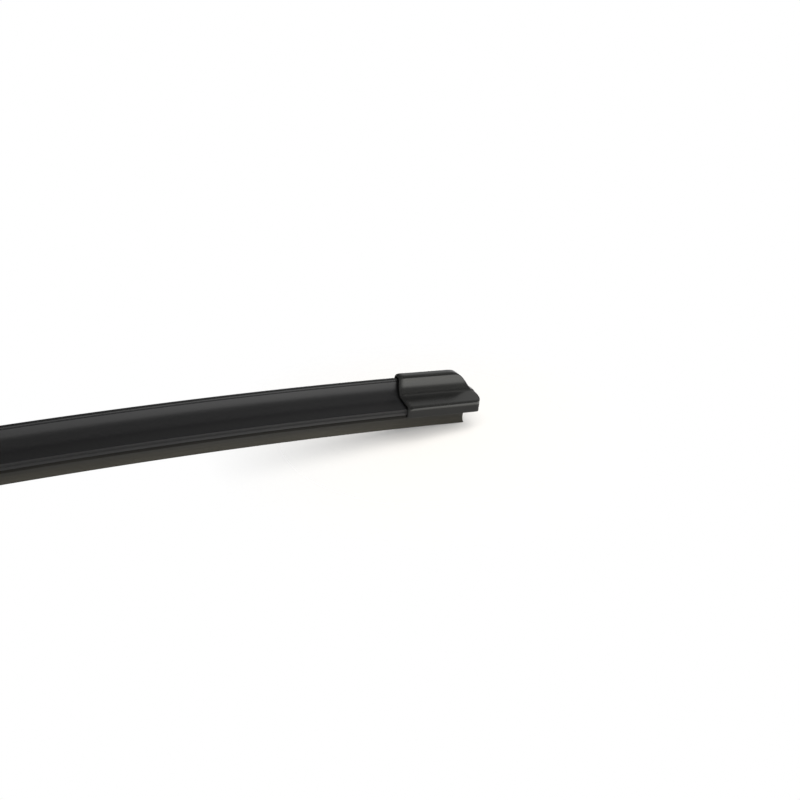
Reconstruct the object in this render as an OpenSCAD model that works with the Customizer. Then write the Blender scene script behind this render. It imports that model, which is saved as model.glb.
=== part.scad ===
// Beam wiper blade: a rubber squeegee on two bowed spring rails, a two-part air
// deflector with a fin, two end caps and a middle connector for a hooked wiper arm.
// Millimetres. X runs along the blade, -Y is the hollow front face of the deflector,
// Z points away from the glass. The origin is the centre of the connector's pivot pin.
// Sections are drawn as [across, up], with up measured from the wiping edge.

/* [Blade] */
// Length along the wiping edge, from cap end to cap end
blade_len = 600; // [450:10:700]
// Radius of the free bow, measured at the wiping edge
bow_r = 2200; // [1600:50:4000]

/* [Rubber element] */
// Width of the wiping lip at its edge
lip_tip_w = 0.7; // [0.5:0.05:1]
// Height of the thin lip
lip_h = 1.2; // [0.8:0.1:1.6]
// Height of the wedge above the lip
wedge_h = 4.4; // [3.8:0.1:5]
// Width of the shoulder at the top of the wedge
shoulder_w = 6.4; // [5.4:0.1:7]
// Height of the shoulder
shoulder_h = 1.1; // [0.8:0.1:1.5]
// Width of the neck that lets the lip tilt
neck_w = 1.2; // [0.8:0.1:1.6]
// Height of the neck
neck_h = 1; // [0.8:0.1:1.4]
// Width of the head's lower flange
flange_w = 7.8; // [7:0.1:8.2]
// Thickness of the head's lower flange
flange_t = 1.15; // [0.9:0.05:1.5]
// Width of the web between the two rails
web_w = 1.4; // [1:0.1:1.8]
// Width of the head above the rails
head_w = 4.8; // [4:0.1:5.2]
// Height of the head above the rails
head_h = 1; // [0.7:0.1:1.1]
// Distance from the lip's end to the cap's end
rubber_short = 3; // [2.4:0.2:6]
// Slant of the rubber's ends, from the lip to the shoulder
rubber_slant = 2; // [0:0.5:3]

/* [Spring rails] */
// Width of one rail
rail_w = 4.6; // [4.2:0.1:5]
// Thickness of one rail
rail_t = 0.9; // [0.7:0.05:1.1]
// Distance from the rail's end to the cap's end
rail_short = 3; // [2.5:0.5:5]
// Depth of the catch notch in the rail's outer edge
notch_d = 0.6; // [0.4:0.1:0.8]
// Length of the catch notch
notch_len = 2.4; // [2:0.2:3.2]

/* [Deflector] */
// Width of the deflector over its claws
deflector_w = 12.8; // [12.6:0.1:13.6]
// Thickness of the claws under the rails
claw_t = 0.75; // [0.6:0.05:0.9]
// Height of the front and rear walls, from the claws' underside
wall_h = 2.55; // [2.4:0.05:3]
// Height of the fin's top above the claws' underside
fin_h = 11.1; // [10.4:0.1:12.6]
// Distance of the fin's front face from the middle plane, at the top
fin_y = 3; // [2.8:0.1:3.3]
// Thickness of the fin at its top
fin_t = 1.55; // [1.3:0.05:1.8]
// Rise of the hollow face from the front wall to the foot of the fin
shelf_rise = 1.9; // [1.7:0.1:2.4]
// Radius of the hollow where the face turns up into the fin
hollow_r = 4; // [3.2:0.1:4.4]
// Height of the bead on the front wall, from the claws' underside
bead_h = 1; // [0.8:0.1:1.2]

/* [End caps] */
// Length of an end cap
cap_len = 32; // [28:0.2:36]
// Wall thickness of a cap over the deflector
cap_wall = 1.2; // [0.9:0.1:1.3]
// Thickness of the cap's rim under the claws
cap_floor = 0.6; // [0.5:0.05:0.7]
// How far the deflector reaches into a cap
cap_grip = 12; // [10:1:14]
// Distance from the point where the fin starts to fall to the cap's end
cap_rake = 11.6; // [9:0.2:13]
// How late the fin falls: 1 is a straight slope, 2 a curve that starts level
rake_power = 2.3; // [1.5:0.1:2.5]
// Radius of the cap's two end corners, seen from above
cap_nose_r = 3.2; // [2:0.2:4.4]
// How far each side wall of the cap draws in towards its end
cap_taper = 0.6; // [0.1:0.1:0.8]

/* [Connector base] */
// Length of the cast base
base_len = 44; // [40:1:48]
// Wall of the base around the rails
base_wall = 1.25; // [1.1:0.05:1.5]
// Height of the base's floor above the rails
floor_rise = 2.5; // [2.2:0.1:3]
// Thickness of the pad that carries the ears
pad_t = 1.5; // [1.2:0.1:2]
// Length of the claws at each end of the base
claw_len = 9; // [7:0.5:12]
// Thickness of each ear
ear_t = 1.6; // [1.4:0.1:2]
// Radius of each ear's round top
ear_r = 4; // [3.6:0.1:4.2]
// Radius of the pivot pin
pin_r = 2.4; // [2.2:0.1:2.6]

/* [Arm adapter] */
// Width of the arm's hook
hook_w = 9; // [8:0.5:10]
// Thickness of the arm's hook
hook_t = 4; // [4:0.1:4.4]
// Distance between the two legs of the hook
hook_gap = 8; // [7.4:0.1:8.4]
// Thickness of each cheek
cheek_t = 1.5; // [1.2:0.1:1.8]
// Length of the adapter from the pin to the centre of its tail
tail_len = 22; // [19:0.5:22]
// Radius of the tail
tail_r = 2.2; // [2:0.1:2.6]

/* [Connector cover] */
// Length of the cover between its two mouths
cover_len = 84; // [80:1:92]
// Wall thickness of the cover
cover_wall = 1.3; // [1.1:0.1:1.5]
// How far the deflector reaches into the cover
cover_grip = 9.5; // [8:0.5:10]

/* [Fits] */
// Clearance between the rails and what holds them
fit = 0.08; // [0.05:0.01:0.12]
// Clearance of a moulded sleeve on the deflector and the rails
slip = 0.14; // [0.1:0.01:0.2]
// Radial clearance of the adapter on the pin
pin_play = 0.06; // [0.02:0.01:0.1]
// Side clearance of the adapter between the ears
swing_play = 0.3; // [0.2:0.05:0.5]

/* [Hidden] */

arc_steps = 8;
bow_fn = 720;
round_fn = 96;
cut = 1;

// Heights above the wiping edge, from the lip up
shoulder_z0 = lip_h + wedge_h;
shoulder_z1 = shoulder_z0 + shoulder_h;
flange_z0 = shoulder_z1 + neck_h;
groove_z0 = flange_z0 + flange_t;
rail_z0 = groove_z0 + fit;
rail_z1 = rail_z0 + rail_t;
groove_z1 = rail_z1 + fit;
head_z1 = groove_z1 + head_h;
claw_z0 = groove_z0 - claw_t;
crease_z = claw_z0 + wall_h;
fin_z = claw_z0 + fin_h;

// Distances from the middle plane
rail_y0 = web_w / 2 + fit;
rail_y1 = rail_y0 + rail_w;
flange_play = 0.3;
head_play = 0.2;
wall_y = deflector_w / 2;

// Fin: the front face leans back a little, and the rear face flares to the wall
fin_lean = 0.4;
fin_foot_z = crease_z + shelf_rise;
waist_y = fin_y + fin_t + 0.65;
waist_z = crease_z + 2.75;
fin_groove_r = 0.24;
fin_groove_drop = 1.1;
cove_r = 1.1;
cove_depth = 0.16;
bead_under = 0.35;

// Cap: its own radii where it rounds off more than a plain offset does
cap_grow = slip + cap_wall;
cap_z0 = claw_z0 - slip - cap_floor;
cap_front_r = 1.7;
cap_valley_r = 3.2;
cap_fin_r = 1.45;
cap_end_wall = 1.6;
rake_stop = 1.4;
end_drop = 0.4;
mouth_lead = 0.4;
mouth_depth = 0.9;

// Connector heights
floor_z = rail_z1 + floor_rise;
pad_z = floor_z + 0.4;
pad_len = base_len - 16;
core_r = hook_gap / 2;
hook_r = core_r + hook_t;
cheek_r = hook_r - 0.4;
pin_z = pad_z + hook_r + 1.6;
lip_z = -pin_z;
cheek_y0 = hook_w / 2 + 0.2;
cheek_y1 = cheek_y0 + cheek_t;
ear_y0 = cheek_y1 + swing_play;
ear_y1 = ear_y0 + ear_t;
rivet_head_r = pin_r + 1.2;
rivet_head_t = 0.9;
tail_z = 1;
core_x = 2 - tail_len;
core_root_z = core_r - 2.4;
tongue_x = -hook_r - 4.5;
tongue_drop = 1.8;

// Connector cover
cover_play = 0.3;
cover_in_y = ear_y1 + rivet_head_t + cover_play;
cover_in_x = base_len / 2 + cover_play;
cover_top_z = pin_z + ear_r + cover_play + cover_wall;
cover_out_y = cover_in_y + cover_wall;
cover_x = base_len / 2 + 8;
cover_shoulder_x = base_len / 2 + 1;
cover_taper = 0.7;
window_y = cheek_y1 + cover_play + 0.2;
window_x0 = -cover_x - 1;
window_x1 = hook_r + 2.5;
window_z = pin_z - hook_r + 0.2;
rib_len = 8;
rib_play = 0.12;
deflector_x0 = cover_len / 2 - cover_grip;
deflector_x1 = blade_len / 2 - cap_len + cap_grip;

// Unit vector of v
function unit(v) = v / norm(v);

// Points of an arc round c, from angle a0 over the angle turn
function arc(c, r, a0, turn) =
    [for (i = [0 : arc_steps]) c + r * [cos(a0 + turn * i / arc_steps), sin(a0 + turn * i / arc_steps)]];

// An angle brought between -180 and 180 degrees
function half_turn(a) = a > 180 ? a - 360 : a < -180 ? a + 360 : a;

// The rounded corner at q, on the way from p to s
function round_corner(p, q, s, r) =
    r <= 0 ? [q] :
    let (u = unit(p - q), v = unit(s - q), half = acos(u * v) / 2,
         c = q + unit(u + v) * r / sin(half),
         from = q + u * r / tan(half) - c, to = q + v * r / tan(half) - c,
         a0 = atan2(from[1], from[0]), a1 = atan2(to[1], to[0]))
    arc(c, r, a0, half_turn(a1 - a0));

function xy(corner) = [corner[0], corner[1]];

// An outline from corners [x, y, radius]
function rounded(corners) =
    let (n = len(corners))
    [for (i = [0 : n - 1])
        each round_corner(xy(corners[(i + n - 1) % n]), xy(corners[i]), xy(corners[(i + 1) % n]), corners[i][2])];

// The outward side of the edge from p to q on a clockwise outline
function outward(p, q) = let (d = unit(q - p)) [-d[1], d[0]];

// Corner q after the edges p-q and q-s have both moved out by d
function grown_corner(p, q, s, d) =
    let (m = outward(p, q), n = outward(q, s)) q + (m + n) * d / (1 + m * n);

// True if a clockwise outline turns outward at q, as round the foot of the fin
function hollow_at(p, q, s) = cross(q - p, s - q) > 0;

// Corners of a clockwise outline whose every edge has moved out by d
function grown(corners, d) =
    let (n = len(corners))
    [for (i = [0 : n - 1])
        let (p = xy(corners[(i + n - 1) % n]), q = xy(corners[i]), s = xy(corners[(i + 1) % n]),
             g = grown_corner(p, q, s, d))
        [g[0], g[1], corners[i][2] + (hollow_at(p, q, s) ? -d : d)]];

// Outer corners of the deflector, clockwise from the lower front edge
deflector_corners = [
    [-wall_y, claw_z0, 0.25],
    [-wall_y, crease_z, 0.4],
    [fin_y - fin_lean, fin_foot_z, hollow_r],
    [fin_y, fin_z, 0.7],
    [fin_y + fin_t, fin_z, 0.7],
    [waist_y, waist_z, 5],
    [wall_y, crease_z, 0.5],
    [wall_y, claw_z0, 0.25]];

// Outer corners of a moulded sleeve over the deflector, with softer edges and a thinner rim below
sleeve_grown = grown(deflector_corners, cap_grow);
sleeve_radii = [0.4, cap_front_r, cap_valley_r, cap_fin_r, cap_fin_r, 4, cap_front_r, 0.4];
sleeve_corners = [for (i = [0 : len(sleeve_grown) - 1])
    [sleeve_grown[i][0], max(sleeve_grown[i][1], cap_z0), sleeve_radii[i]]];
sleeve_fin_z = sleeve_corners[3][1];
sleeve_foot_z = sleeve_corners[2][1];

// Sweeps a section along the bow, between two distances from the middle
module sweep(from, to) {
    turn = 180 / PI / bow_r;
    translate([0, 0, lip_z - bow_r])
        rotate([-90, 0, 0])
            rotate_extrude(angle = (to - from) * turn, start = from * turn - 90, $fn = bow_fn)
                translate([bow_r, 0])
                    mirror([1, -1])
                        children();
}

// Places a piece on the wiping edge at a distance along the bow, square to it
module at_station(along) {
    a = along * 180 / PI / bow_r;
    translate([bow_r * sin(a), 0, lip_z + bow_r * (cos(a) - 1)])
        rotate([0, a, 0])
            children();
}

// Extrudes a section along X
module along_x(from, to) {
    translate([from, 0, 0])
        rotate([90, 0, 90])
            linear_extrude(to - from)
                children();
}

// Extrudes a side view [x, up] across the blade
module across_y(from, to) {
    translate([0, to, 0])
        rotate([90, 0, 0])
            linear_extrude(to - from)
                children();
}

// A rectangle between two heights, mirrored about the middle plane
module band(half_w, z0, z1) {
    translate([-half_w, z0])
        square([2 * half_w, z1 - z0]);
}

// Section of the rubber: lip, wedge, shoulder, neck, and a head with a groove for each rail
module rubber_section() {
    tip = lip_tip_w / 2;
    shoulder = shoulder_w / 2;
    flank = [for (i = [0 : arc_steps])
        let (t = i / arc_steps) [tip + 0.05 + (shoulder - tip - 0.05) * pow(t, 1.4), lip_h + wedge_h * t]];
    half = concat(
        [[tip, 0]],
        flank,
        [[shoulder, shoulder_z1 - 0.3],
         [shoulder - 0.3, shoulder_z1],
         [neck_w / 2 + 0.2, shoulder_z1 + 0.1],
         [neck_w / 2, shoulder_z1 + 0.3],
         [neck_w / 2, flange_z0],
         [flange_w / 2, flange_z0],
         [flange_w / 2, groove_z0],
         [web_w / 2, groove_z0],
         [web_w / 2, groove_z1],
         [head_w / 2, groove_z1],
         [head_w / 2 - 0.5, head_z1]]);
    n = len(half);
    polygon(concat(half, [for (i = [n - 1 : -1 : 0]) [-half[i][0], half[i][1]]]));
}

// The room that the rails and the rubber's head take in a piece that holds them
module core_room(gap) {
    band(rail_y1 + gap, rail_z0 - gap, rail_z1 + gap);
    band(head_w / 2 + head_play, rail_z0, head_z1 + head_play);
    band(flange_w / 2 + flange_play, claw_z0 - 2 * cut, (rail_z0 + rail_z1) / 2);
}

// Section of one rail, on the rear side
module rail_section() {
    translate([rail_y0, rail_z0])
        square([rail_w, rail_t]);
}

module deflector_section() {
    groove_z = fin_z - fin_groove_drop;
    groove_y = fin_y - fin_lean * (fin_z - groove_z) / (fin_z - fin_foot_z);
    bead_z = claw_z0 + bead_h;
    difference() {
        polygon(rounded(deflector_corners));
        core_room(fit);
        translate([groove_y, groove_z])
            circle(fin_groove_r, $fn = 24);
        translate([cove_depth - wall_y - cove_r, (bead_z + crease_z) / 2])
            circle(cove_r, $fn = round_fn);
        polygon([
            [-wall_y - cut, claw_z0 - cut],
            [-wall_y - cut, bead_z],
            [-wall_y, bead_z],
            [bead_under - wall_y, claw_z0],
            [bead_under - wall_y, claw_z0 - cut]]);
    }
}

module sleeve_section() {
    polygon(rounded(sleeve_corners));
}

// The squeegee, with its ends cut on a slant so that the lip runs out furthest
module rubber_element() {
    reach = blade_len / 2 - rubber_short;
    color("#1b1b1c")
        difference() {
            sweep(-reach, reach)
                rubber_section();
            for (side = [0, 1])
                mirror([side, 0, 0])
                    at_station(reach)
                        across_y(-shoulder_w, shoulder_w)
                            polygon([
                                [rubber_short, 0],
                                [0, 0],
                                [-rubber_slant, shoulder_z0],
                                [-rubber_slant, shoulder_z1 + neck_h / 2],
                                [rubber_short, shoulder_z1 + neck_h / 2]]);
        }
}

// One rail, with a catch notch in its outer edge near each end
module rail() {
    reach = blade_len / 2 - rail_short;
    color("#8d9093")
        difference() {
            sweep(-reach, reach)
                rail_section();
            for (side = [-1, 1])
                at_station(side * (blade_len / 2 - cap_len / 2 + cap_grip / 2))
                    translate([-notch_len / 2, rail_y1 - notch_d, rail_z0 - cut])
                        cube([notch_len, notch_d + cut, rail_t + 2 * cut]);
        }
}

module deflector() {
    color("#232324")
        sweep(deflector_x0, deflector_x1)
            deflector_section();
}

// Side view of a cap: a level fin that curves down to the end, over a square foot
module cap_side_view() {
    rake_x = cap_len - cap_rake;
    foot_x = cap_len - rake_stop;
    start_z = sleeve_fin_z + 0.05;
    polygon(rounded(concat(
        [[-cut, cap_z0 - cut, 0],
         [-cut, start_z + cut, 0],
         [rake_x, start_z + cut, 0]],
        [for (i = [0 : 2 * arc_steps])
            let (t = i / (2 * arc_steps))
            [rake_x + (foot_x - rake_x) * t, start_z - (start_z - sleeve_foot_z) * pow(t, rake_power), 0]],
        [[cap_len, sleeve_foot_z - end_drop, 0.5],
         [cap_len, cap_z0, 0.5],
         [cap_len - 1, cap_z0 - cut, 0]])));
}

// Plan view of a cap: square mouth, walls that draw in, and round end corners
module cap_plan_view() {
    half = wall_y + cap_grow;
    polygon(rounded([
        [-cut, -half, 0],
        [-cut, half, 0],
        [cap_len, half - cap_taper, cap_nose_r],
        [cap_len, cap_taper - half, cap_nose_r]]));
}

// Two nibs in the cap that snap into the rails' notches
module cap_catches() {
    at = cap_len / 2 + cap_grip / 2;
    nib_len = notch_len - 4 * slip;
    for (side = [-1, 1])
        translate([at - nib_len / 2, side > 0 ? rail_y1 - notch_d + slip : -rail_y1 - slip - cut, rail_z0 - slip])
            cube([nib_len, notch_d + cut, rail_t + 2 * slip]);
}

// An end cap in its own frame: the mouth at x = 0, the wiping edge along X
module cap_body() {
    difference() {
        intersection() {
            along_x(0, cap_len)
                sleeve_section();
            across_y(-2 * wall_y, 2 * wall_y)
                cap_side_view();
            translate([0, 0, cap_z0 - cut])
                linear_extrude(sleeve_fin_z - cap_z0 + 2 * cut)
                    cap_plan_view();
        }
        along_x(-cut, cap_grip + slip)
            polygon(rounded(grown(deflector_corners, slip)));
        along_x(-cut, mouth_depth)
            polygon(rounded(grown(deflector_corners, slip + mouth_lead)));
        difference() {
            along_x(-cut, cap_len - cap_end_wall)
                core_room(slip);
            cap_catches();
        }
    }
}

module end_cap() {
    color("#19191a")
        at_station(blade_len / 2 - cap_len / 2)
            translate([-cap_len / 2, 0, 0])
                cap_body();
}

// Section of the base's channel, crimped round the rails
module channel_section() {
    half_y = rail_y1 + fit + base_wall;
    difference() {
        polygon(rounded([
            [-half_y, claw_z0, 0.4],
            [-half_y, floor_z, 0.8],
            [half_y, floor_z, 0.8],
            [half_y, claw_z0, 0.4]]));
        core_room(fit);
    }
}

// Side view of an ear: a round top on a foot that widens to the pad
module ear_side_view() {
    foot = pad_len / 2 - 1;
    translate([0, pin_z])
        circle(ear_r, $fn = round_fn);
    polygon([
        [-foot, pad_z - pad_t / 2],
        [-foot, pad_z + 1],
        [-ear_r, pin_z - ear_r],
        [-ear_r, pin_z],
        [ear_r, pin_z],
        [ear_r, pin_z - ear_r],
        [foot, pad_z + 1],
        [foot, pad_z - pad_t / 2]]);
}

// The cast base: a bowed channel with claws at its ends, a pad on top and two ears for the pin
module connector_base() {
    color("#6f7276")
        difference() {
            union() {
                for (side = [0, 1])
                    mirror([side, 0, 0])
                        sweep(0, base_len / 2)
                            channel_section();
                translate([0, 0, lip_z]) {
                    along_x(-pad_len / 2, pad_len / 2)
                        translate([-ear_y1, pad_z - pad_t])
                            square([2 * ear_y1, pad_t]);
                    for (side = [-1, 1])
                        across_y(side > 0 ? ear_y0 : -ear_y1, side > 0 ? ear_y1 : -ear_y0)
                            ear_side_view();
                }
            }
            for (side = [-1, 1])
                translate([0, 0, lip_z])
                    along_x(claw_len - base_len / 2, base_len / 2 - claw_len)
                        mirror([side > 0 ? 0 : 1, 0])
                            translate([flange_w / 2, claw_z0 - cut])
                                square([rail_w, rail_z1 - claw_z0 + cut + 0.5]);
            rotate([90, 0, 0])
                cylinder(h = 4 * ear_y1, r = pin_r + 0.02, center = true, $fn = round_fn);
        }
}

// The rivet that the adapter swings on, with a low domed head at each end
module pivot_pin() {
    color("#b4b6b8")
        rotate([90, 0, 0])
            rotate_extrude($fn = round_fn)
                polygon(concat(
                    [[0, -ear_y1 - rivet_head_t]],
                    [[rivet_head_r - 0.5, -ear_y1 - rivet_head_t],
                     [rivet_head_r, -ear_y1 - rivet_head_t + 0.4],
                     [rivet_head_r, -ear_y1],
                     [pin_r, -ear_y1],
                     [pin_r, ear_y1],
                     [rivet_head_r, ear_y1],
                     [rivet_head_r, ear_y1 + rivet_head_t - 0.4],
                     [rivet_head_r - 0.5, ear_y1 + rivet_head_t]],
                    [[0, ear_y1 + rivet_head_t]]));
}

// The outline round two circles, a large one at the pin and a small one at the tail
module teardrop(big_r, small_r, tail) {
    d = norm(tail);
    lean = asin((big_r - small_r) / d);
    dir = atan2(tail[1], tail[0]);
    up = dir - 90 + lean;
    down = dir + 90 - lean;
    circle(big_r, $fn = round_fn);
    translate(tail)
        circle(small_r, $fn = round_fn);
    polygon([
        big_r * [cos(up), sin(up)],
        tail + small_r * [cos(up), sin(up)],
        tail + small_r * [cos(down), sin(down)],
        big_r * [cos(down), sin(down)]]);
}

// Side view of the adapter's core: round nose, flat land for the hook, relief over the tongue
module core_side_view() {
    circle(core_r, $fn = round_fn);
    polygon([
        [0, core_r],
        [core_x + 3, core_r],
        [core_x, core_r - 1.2],
        [core_x, core_root_z],
        [core_x + 2.5, core_root_z],
        [tongue_x - 0.5, core_root_z - 0.8],
        [tongue_x + 3, 1 - core_r],
        [tongue_x + 4.5, -core_r],
        [0, -core_r]]);
}

// Side view of the sprung tongue that catches behind the hook's lower leg
module tongue_side_view() {
    catch_z = -core_r - tongue_drop;
    polygon([
        [core_x, core_root_z + 0.5],
        [core_x, core_root_z - 1.2],
        [tongue_x - 3, catch_z + 2.2],
        [tongue_x - 1.4, catch_z],
        [tongue_x, catch_z],
        [tongue_x, catch_z + 3.4],
        [core_x + 1.5, core_root_z],
        [core_x + 1.5, core_root_z + 0.5]]);
}

// The adapter for a hooked arm: a core with a round nose between two cheeks
module arm_adapter() {
    core_y = cheek_y0 + cheek_t / 2;
    tongue_y = hook_w / 2 - 1.2;
    color("#202021")
        difference() {
            union() {
                for (side = [-1, 1])
                    across_y(side > 0 ? cheek_y0 : -cheek_y1, side > 0 ? cheek_y1 : -cheek_y0)
                        teardrop(cheek_r, tail_r, [-tail_len, tail_z]);
                across_y(-core_y, core_y)
                    core_side_view();
                across_y(-tongue_y, tongue_y)
                    tongue_side_view();
            }
            rotate([90, 0, 0])
                cylinder(h = 4 * cheek_y1, r = pin_r + pin_play, center = true, $fn = round_fn);
        }
}

// Side view of the cover's middle block: raked ends and rounded shoulders
module cover_side_view() {
    polygon(rounded([
        [-cover_x, cap_z0, 0.5],
        [-cover_x, sleeve_foot_z, 2],
        [-cover_shoulder_x, cover_top_z, 3],
        [cover_shoulder_x, cover_top_z, 3],
        [cover_x, sleeve_foot_z, 2],
        [cover_x, cap_z0, 0.5]]));
}

// A rib inside the cover's wall that snaps under the edge of the base's pad
module snap_rib_section() {
    rib_z = pad_z - pad_t - rib_play;
    polygon([
        [cover_in_y + cover_wall / 2, rib_z],
        [ear_y1 - 0.5, rib_z],
        [ear_y1 - 0.5, rib_z - 0.4],
        [cover_in_y, rib_z - 2.4],
        [cover_in_y + cover_wall / 2, rib_z - 2.4]]);
}

// The cover: a block over the base with a sleeve on each side for the deflector's ends
module connector_cover() {
    color("#1d1d1e") {
        for (side = [-1, 1])
            translate([0, 0, lip_z])
                along_x(-rib_len / 2, rib_len / 2)
                    mirror([side > 0 ? 0 : 1, 0])
                        snap_rib_section();
        difference() {
            union() {
                translate([0, 0, lip_z])
                    intersection() {
                        along_x(-cover_x, cover_x)
                            polygon(rounded([
                                [-cover_out_y, cap_z0, 0.5],
                                [cover_taper - cover_out_y, cover_top_z, 2.6],
                                [cover_out_y - cover_taper, cover_top_z, 2.6],
                                [cover_out_y, cap_z0, 0.5]]));
                        across_y(-2 * cover_out_y, 2 * cover_out_y)
                            cover_side_view();
                        linear_extrude(2 * cover_top_z)
                            polygon(rounded([
                                [-cover_x, -cover_out_y, 3.5],
                                [-cover_x, cover_out_y, 3.5],
                                [cover_x, cover_out_y, 3.5],
                                [cover_x, -cover_out_y, 3.5]]));
                    }
                sweep(-cover_len / 2, cover_len / 2)
                    sleeve_section();
            }
            translate([-cover_in_x, -cover_in_y, lip_z + cap_z0 - cut])
                cube([2 * cover_in_x, 2 * cover_in_y, cover_top_z - cover_wall - cap_z0 + cut]);
            for (side = [-1, 1])
                sweep(side > 0 ? deflector_x0 - slip : -cover_len / 2 - cut,
                      side > 0 ? cover_len / 2 + cut : slip - deflector_x0)
                    polygon(rounded(grown(deflector_corners, slip)));
            for (side = [-1, 1])
                sweep(side > 0 ? cover_len / 2 - mouth_depth : -cover_len / 2 - cut,
                      side > 0 ? cover_len / 2 + cut : mouth_depth - cover_len / 2)
                    polygon(rounded(grown(deflector_corners, slip + mouth_lead)));
            sweep(-cover_len, cover_len)
                core_room(slip);
            translate([window_x0, -window_y, lip_z + window_z])
                cube([window_x1 - window_x0, 2 * window_y, cover_top_z]);
        }
    }
}

rubber_element();
mirror([0, 1, 0]) rail();  // rail_front
rail();  // rail_rear
deflector();  // deflector_right
mirror([1, 0, 0]) deflector();  // deflector_left
end_cap();  // end_cap_right
mirror([1, 0, 0]) end_cap();  // end_cap_left
connector_base();
pivot_pin();
connector_cover();
arm_adapter();
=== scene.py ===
# %% [markdown]
# # A beam wiper blade, dressed in Blender
#
# A beam blade has no metal skeleton on the outside. Two flat springs run inside the
# rubber's head, and an extruded deflector with a fin is clipped over them. The packed
# CAD model brings every piece to its place, and this lesson gives the long bowed pieces
# finer surfaces, because their reflections run along 60 cm and show every facet.

# %% Load the frame
import math
import bmesh
import bpy
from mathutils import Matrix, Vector


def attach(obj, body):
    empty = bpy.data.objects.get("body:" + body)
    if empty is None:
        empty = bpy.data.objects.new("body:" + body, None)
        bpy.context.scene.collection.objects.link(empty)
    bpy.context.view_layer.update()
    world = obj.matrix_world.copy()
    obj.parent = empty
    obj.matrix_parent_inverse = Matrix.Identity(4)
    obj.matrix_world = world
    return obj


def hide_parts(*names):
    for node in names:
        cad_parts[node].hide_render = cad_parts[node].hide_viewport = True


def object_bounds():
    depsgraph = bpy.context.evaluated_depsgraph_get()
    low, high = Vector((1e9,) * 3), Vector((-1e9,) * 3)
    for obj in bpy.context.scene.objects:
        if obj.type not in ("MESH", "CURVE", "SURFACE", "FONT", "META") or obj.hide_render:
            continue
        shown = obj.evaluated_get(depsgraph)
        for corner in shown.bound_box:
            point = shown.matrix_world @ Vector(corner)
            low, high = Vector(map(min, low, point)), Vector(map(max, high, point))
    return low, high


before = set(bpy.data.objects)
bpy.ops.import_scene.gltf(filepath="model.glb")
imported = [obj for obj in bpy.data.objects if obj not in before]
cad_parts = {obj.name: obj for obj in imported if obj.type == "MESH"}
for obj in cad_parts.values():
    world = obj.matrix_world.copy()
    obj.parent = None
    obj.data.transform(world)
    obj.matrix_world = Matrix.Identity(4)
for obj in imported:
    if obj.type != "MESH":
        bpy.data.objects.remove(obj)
cad_box = [list(corner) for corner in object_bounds()]

# %% [markdown]
# ## The bow
#
# When nothing presses on it, the blade is bent to one large circle, so that it lies
# evenly on a curved windscreen. Every long piece follows that circle. A section point
# is written as (across, up), with up measured from the wiping edge in millimetres, and
# `on_bow` puts it at a distance along the blade. A Curve modifier could bend straight
# pieces afterwards. Computing each point is as short and gives the CAD's exact circle.

# %% Place a section point on the bow
MM = 0.001
BOW_R = 2200.0
HALF_LEN = 300.0
EDGE_Z = -22.33
RUBBER_REACH = HALF_LEN - 3.0


def on_bow(along, across, up):
    turn = along / BOW_R
    reach = BOW_R + up
    x = reach * math.sin(turn)
    z = reach * math.cos(turn) - BOW_R + EDGE_Z
    return Vector((x, across, z)) * MM


print("lip's end height", round(on_bow(RUBBER_REACH, 0, 0).z, 4),
      "lowest of the CAD", round(cad_box[0][2], 4))

# %% [markdown]
# ## Outlines from corners
#
# Moulded and extruded parts have a radius at every corner. Writing an outline as a few
# corners, each with its radius, keeps it close to a drawing, and one function turns it
# into points. Where an edge is too short for its radii, they are cut down to a share of
# its length. A Bevel modifier could round the finished mesh instead, but then each
# edge's radius would have to be set as a weight.


# %% Round the corners of an outline
def rounded(corners, steps=8, share=0.49):
    outline = []
    for i, (y, z, radius) in enumerate(corners):
        corner = Vector((y, z))
        if radius <= 0:
            outline.append(corner)
            continue
        before = Vector(corners[i - 1][:2]) - corner
        after = Vector(corners[(i + 1) % len(corners)][:2]) - corner
        room = share * min(before.length, after.length)
        before.normalize()
        after.normalize()
        half = 0.5 * math.acos(max(-1.0, min(1.0, before.dot(after))))
        reach = min(radius / math.tan(half), room)
        radius = reach * math.tan(half)
        centre = corner + (before + after).normalized() * radius / math.sin(half)
        start = corner + before * reach - centre
        end = corner + after * reach - centre
        turn = math.atan2(start.x * end.y - start.y * end.x, start.dot(end))
        first = math.atan2(start.y, start.x)
        for k in range(steps + 1):
            angle = first + turn * k / steps
            outline.append(centre + radius * Vector((math.cos(angle), math.sin(angle))))
    return outline


print("a rounded square has", len(rounded([(0, 0, 1), (0, 9, 1), (9, 9, 1), (9, 0, 1)])), "points")

# %% [markdown]
# ## Skins from rings
#
# A long extrusion is a stack of equal rings of points. A moulded cap is the same thing
# with rings that change. A curve with a bevel object could sweep a section too, but the
# section couldn't change on the way, which the caps need. `skin` joins rings to one
# closed mesh, and edges that turn by more than an angle stay sharp, so that flat walls
# read as flat.

# %% Join rings of points to a closed mesh
SHARP_DEG = 32


def shade(mesh):
    mesh.shade_smooth()
    mesh.set_sharp_from_angle(angle=math.radians(SHARP_DEG))


def skin(name, rings):
    mesh = bpy.data.meshes.new(name)
    made = bmesh.new()
    loops = [[made.verts.new(point) for point in ring] for ring in rings]
    count = len(rings[0])
    for near, far in zip(loops, loops[1:]):
        for k in range(count):
            made.faces.new((near[k], near[(k + 1) % count], far[(k + 1) % count], far[k]))
    made.faces.new(loops[0][::-1])
    made.faces.new(loops[-1])
    bmesh.ops.recalc_face_normals(made, faces=made.faces[:])
    made.to_mesh(mesh)
    made.free()
    shade(mesh)
    piece = bpy.data.objects.new(name, mesh)
    bpy.context.collection.objects.link(piece)
    return piece


print("edges over", SHARP_DEG, "degrees stay sharp")


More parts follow.
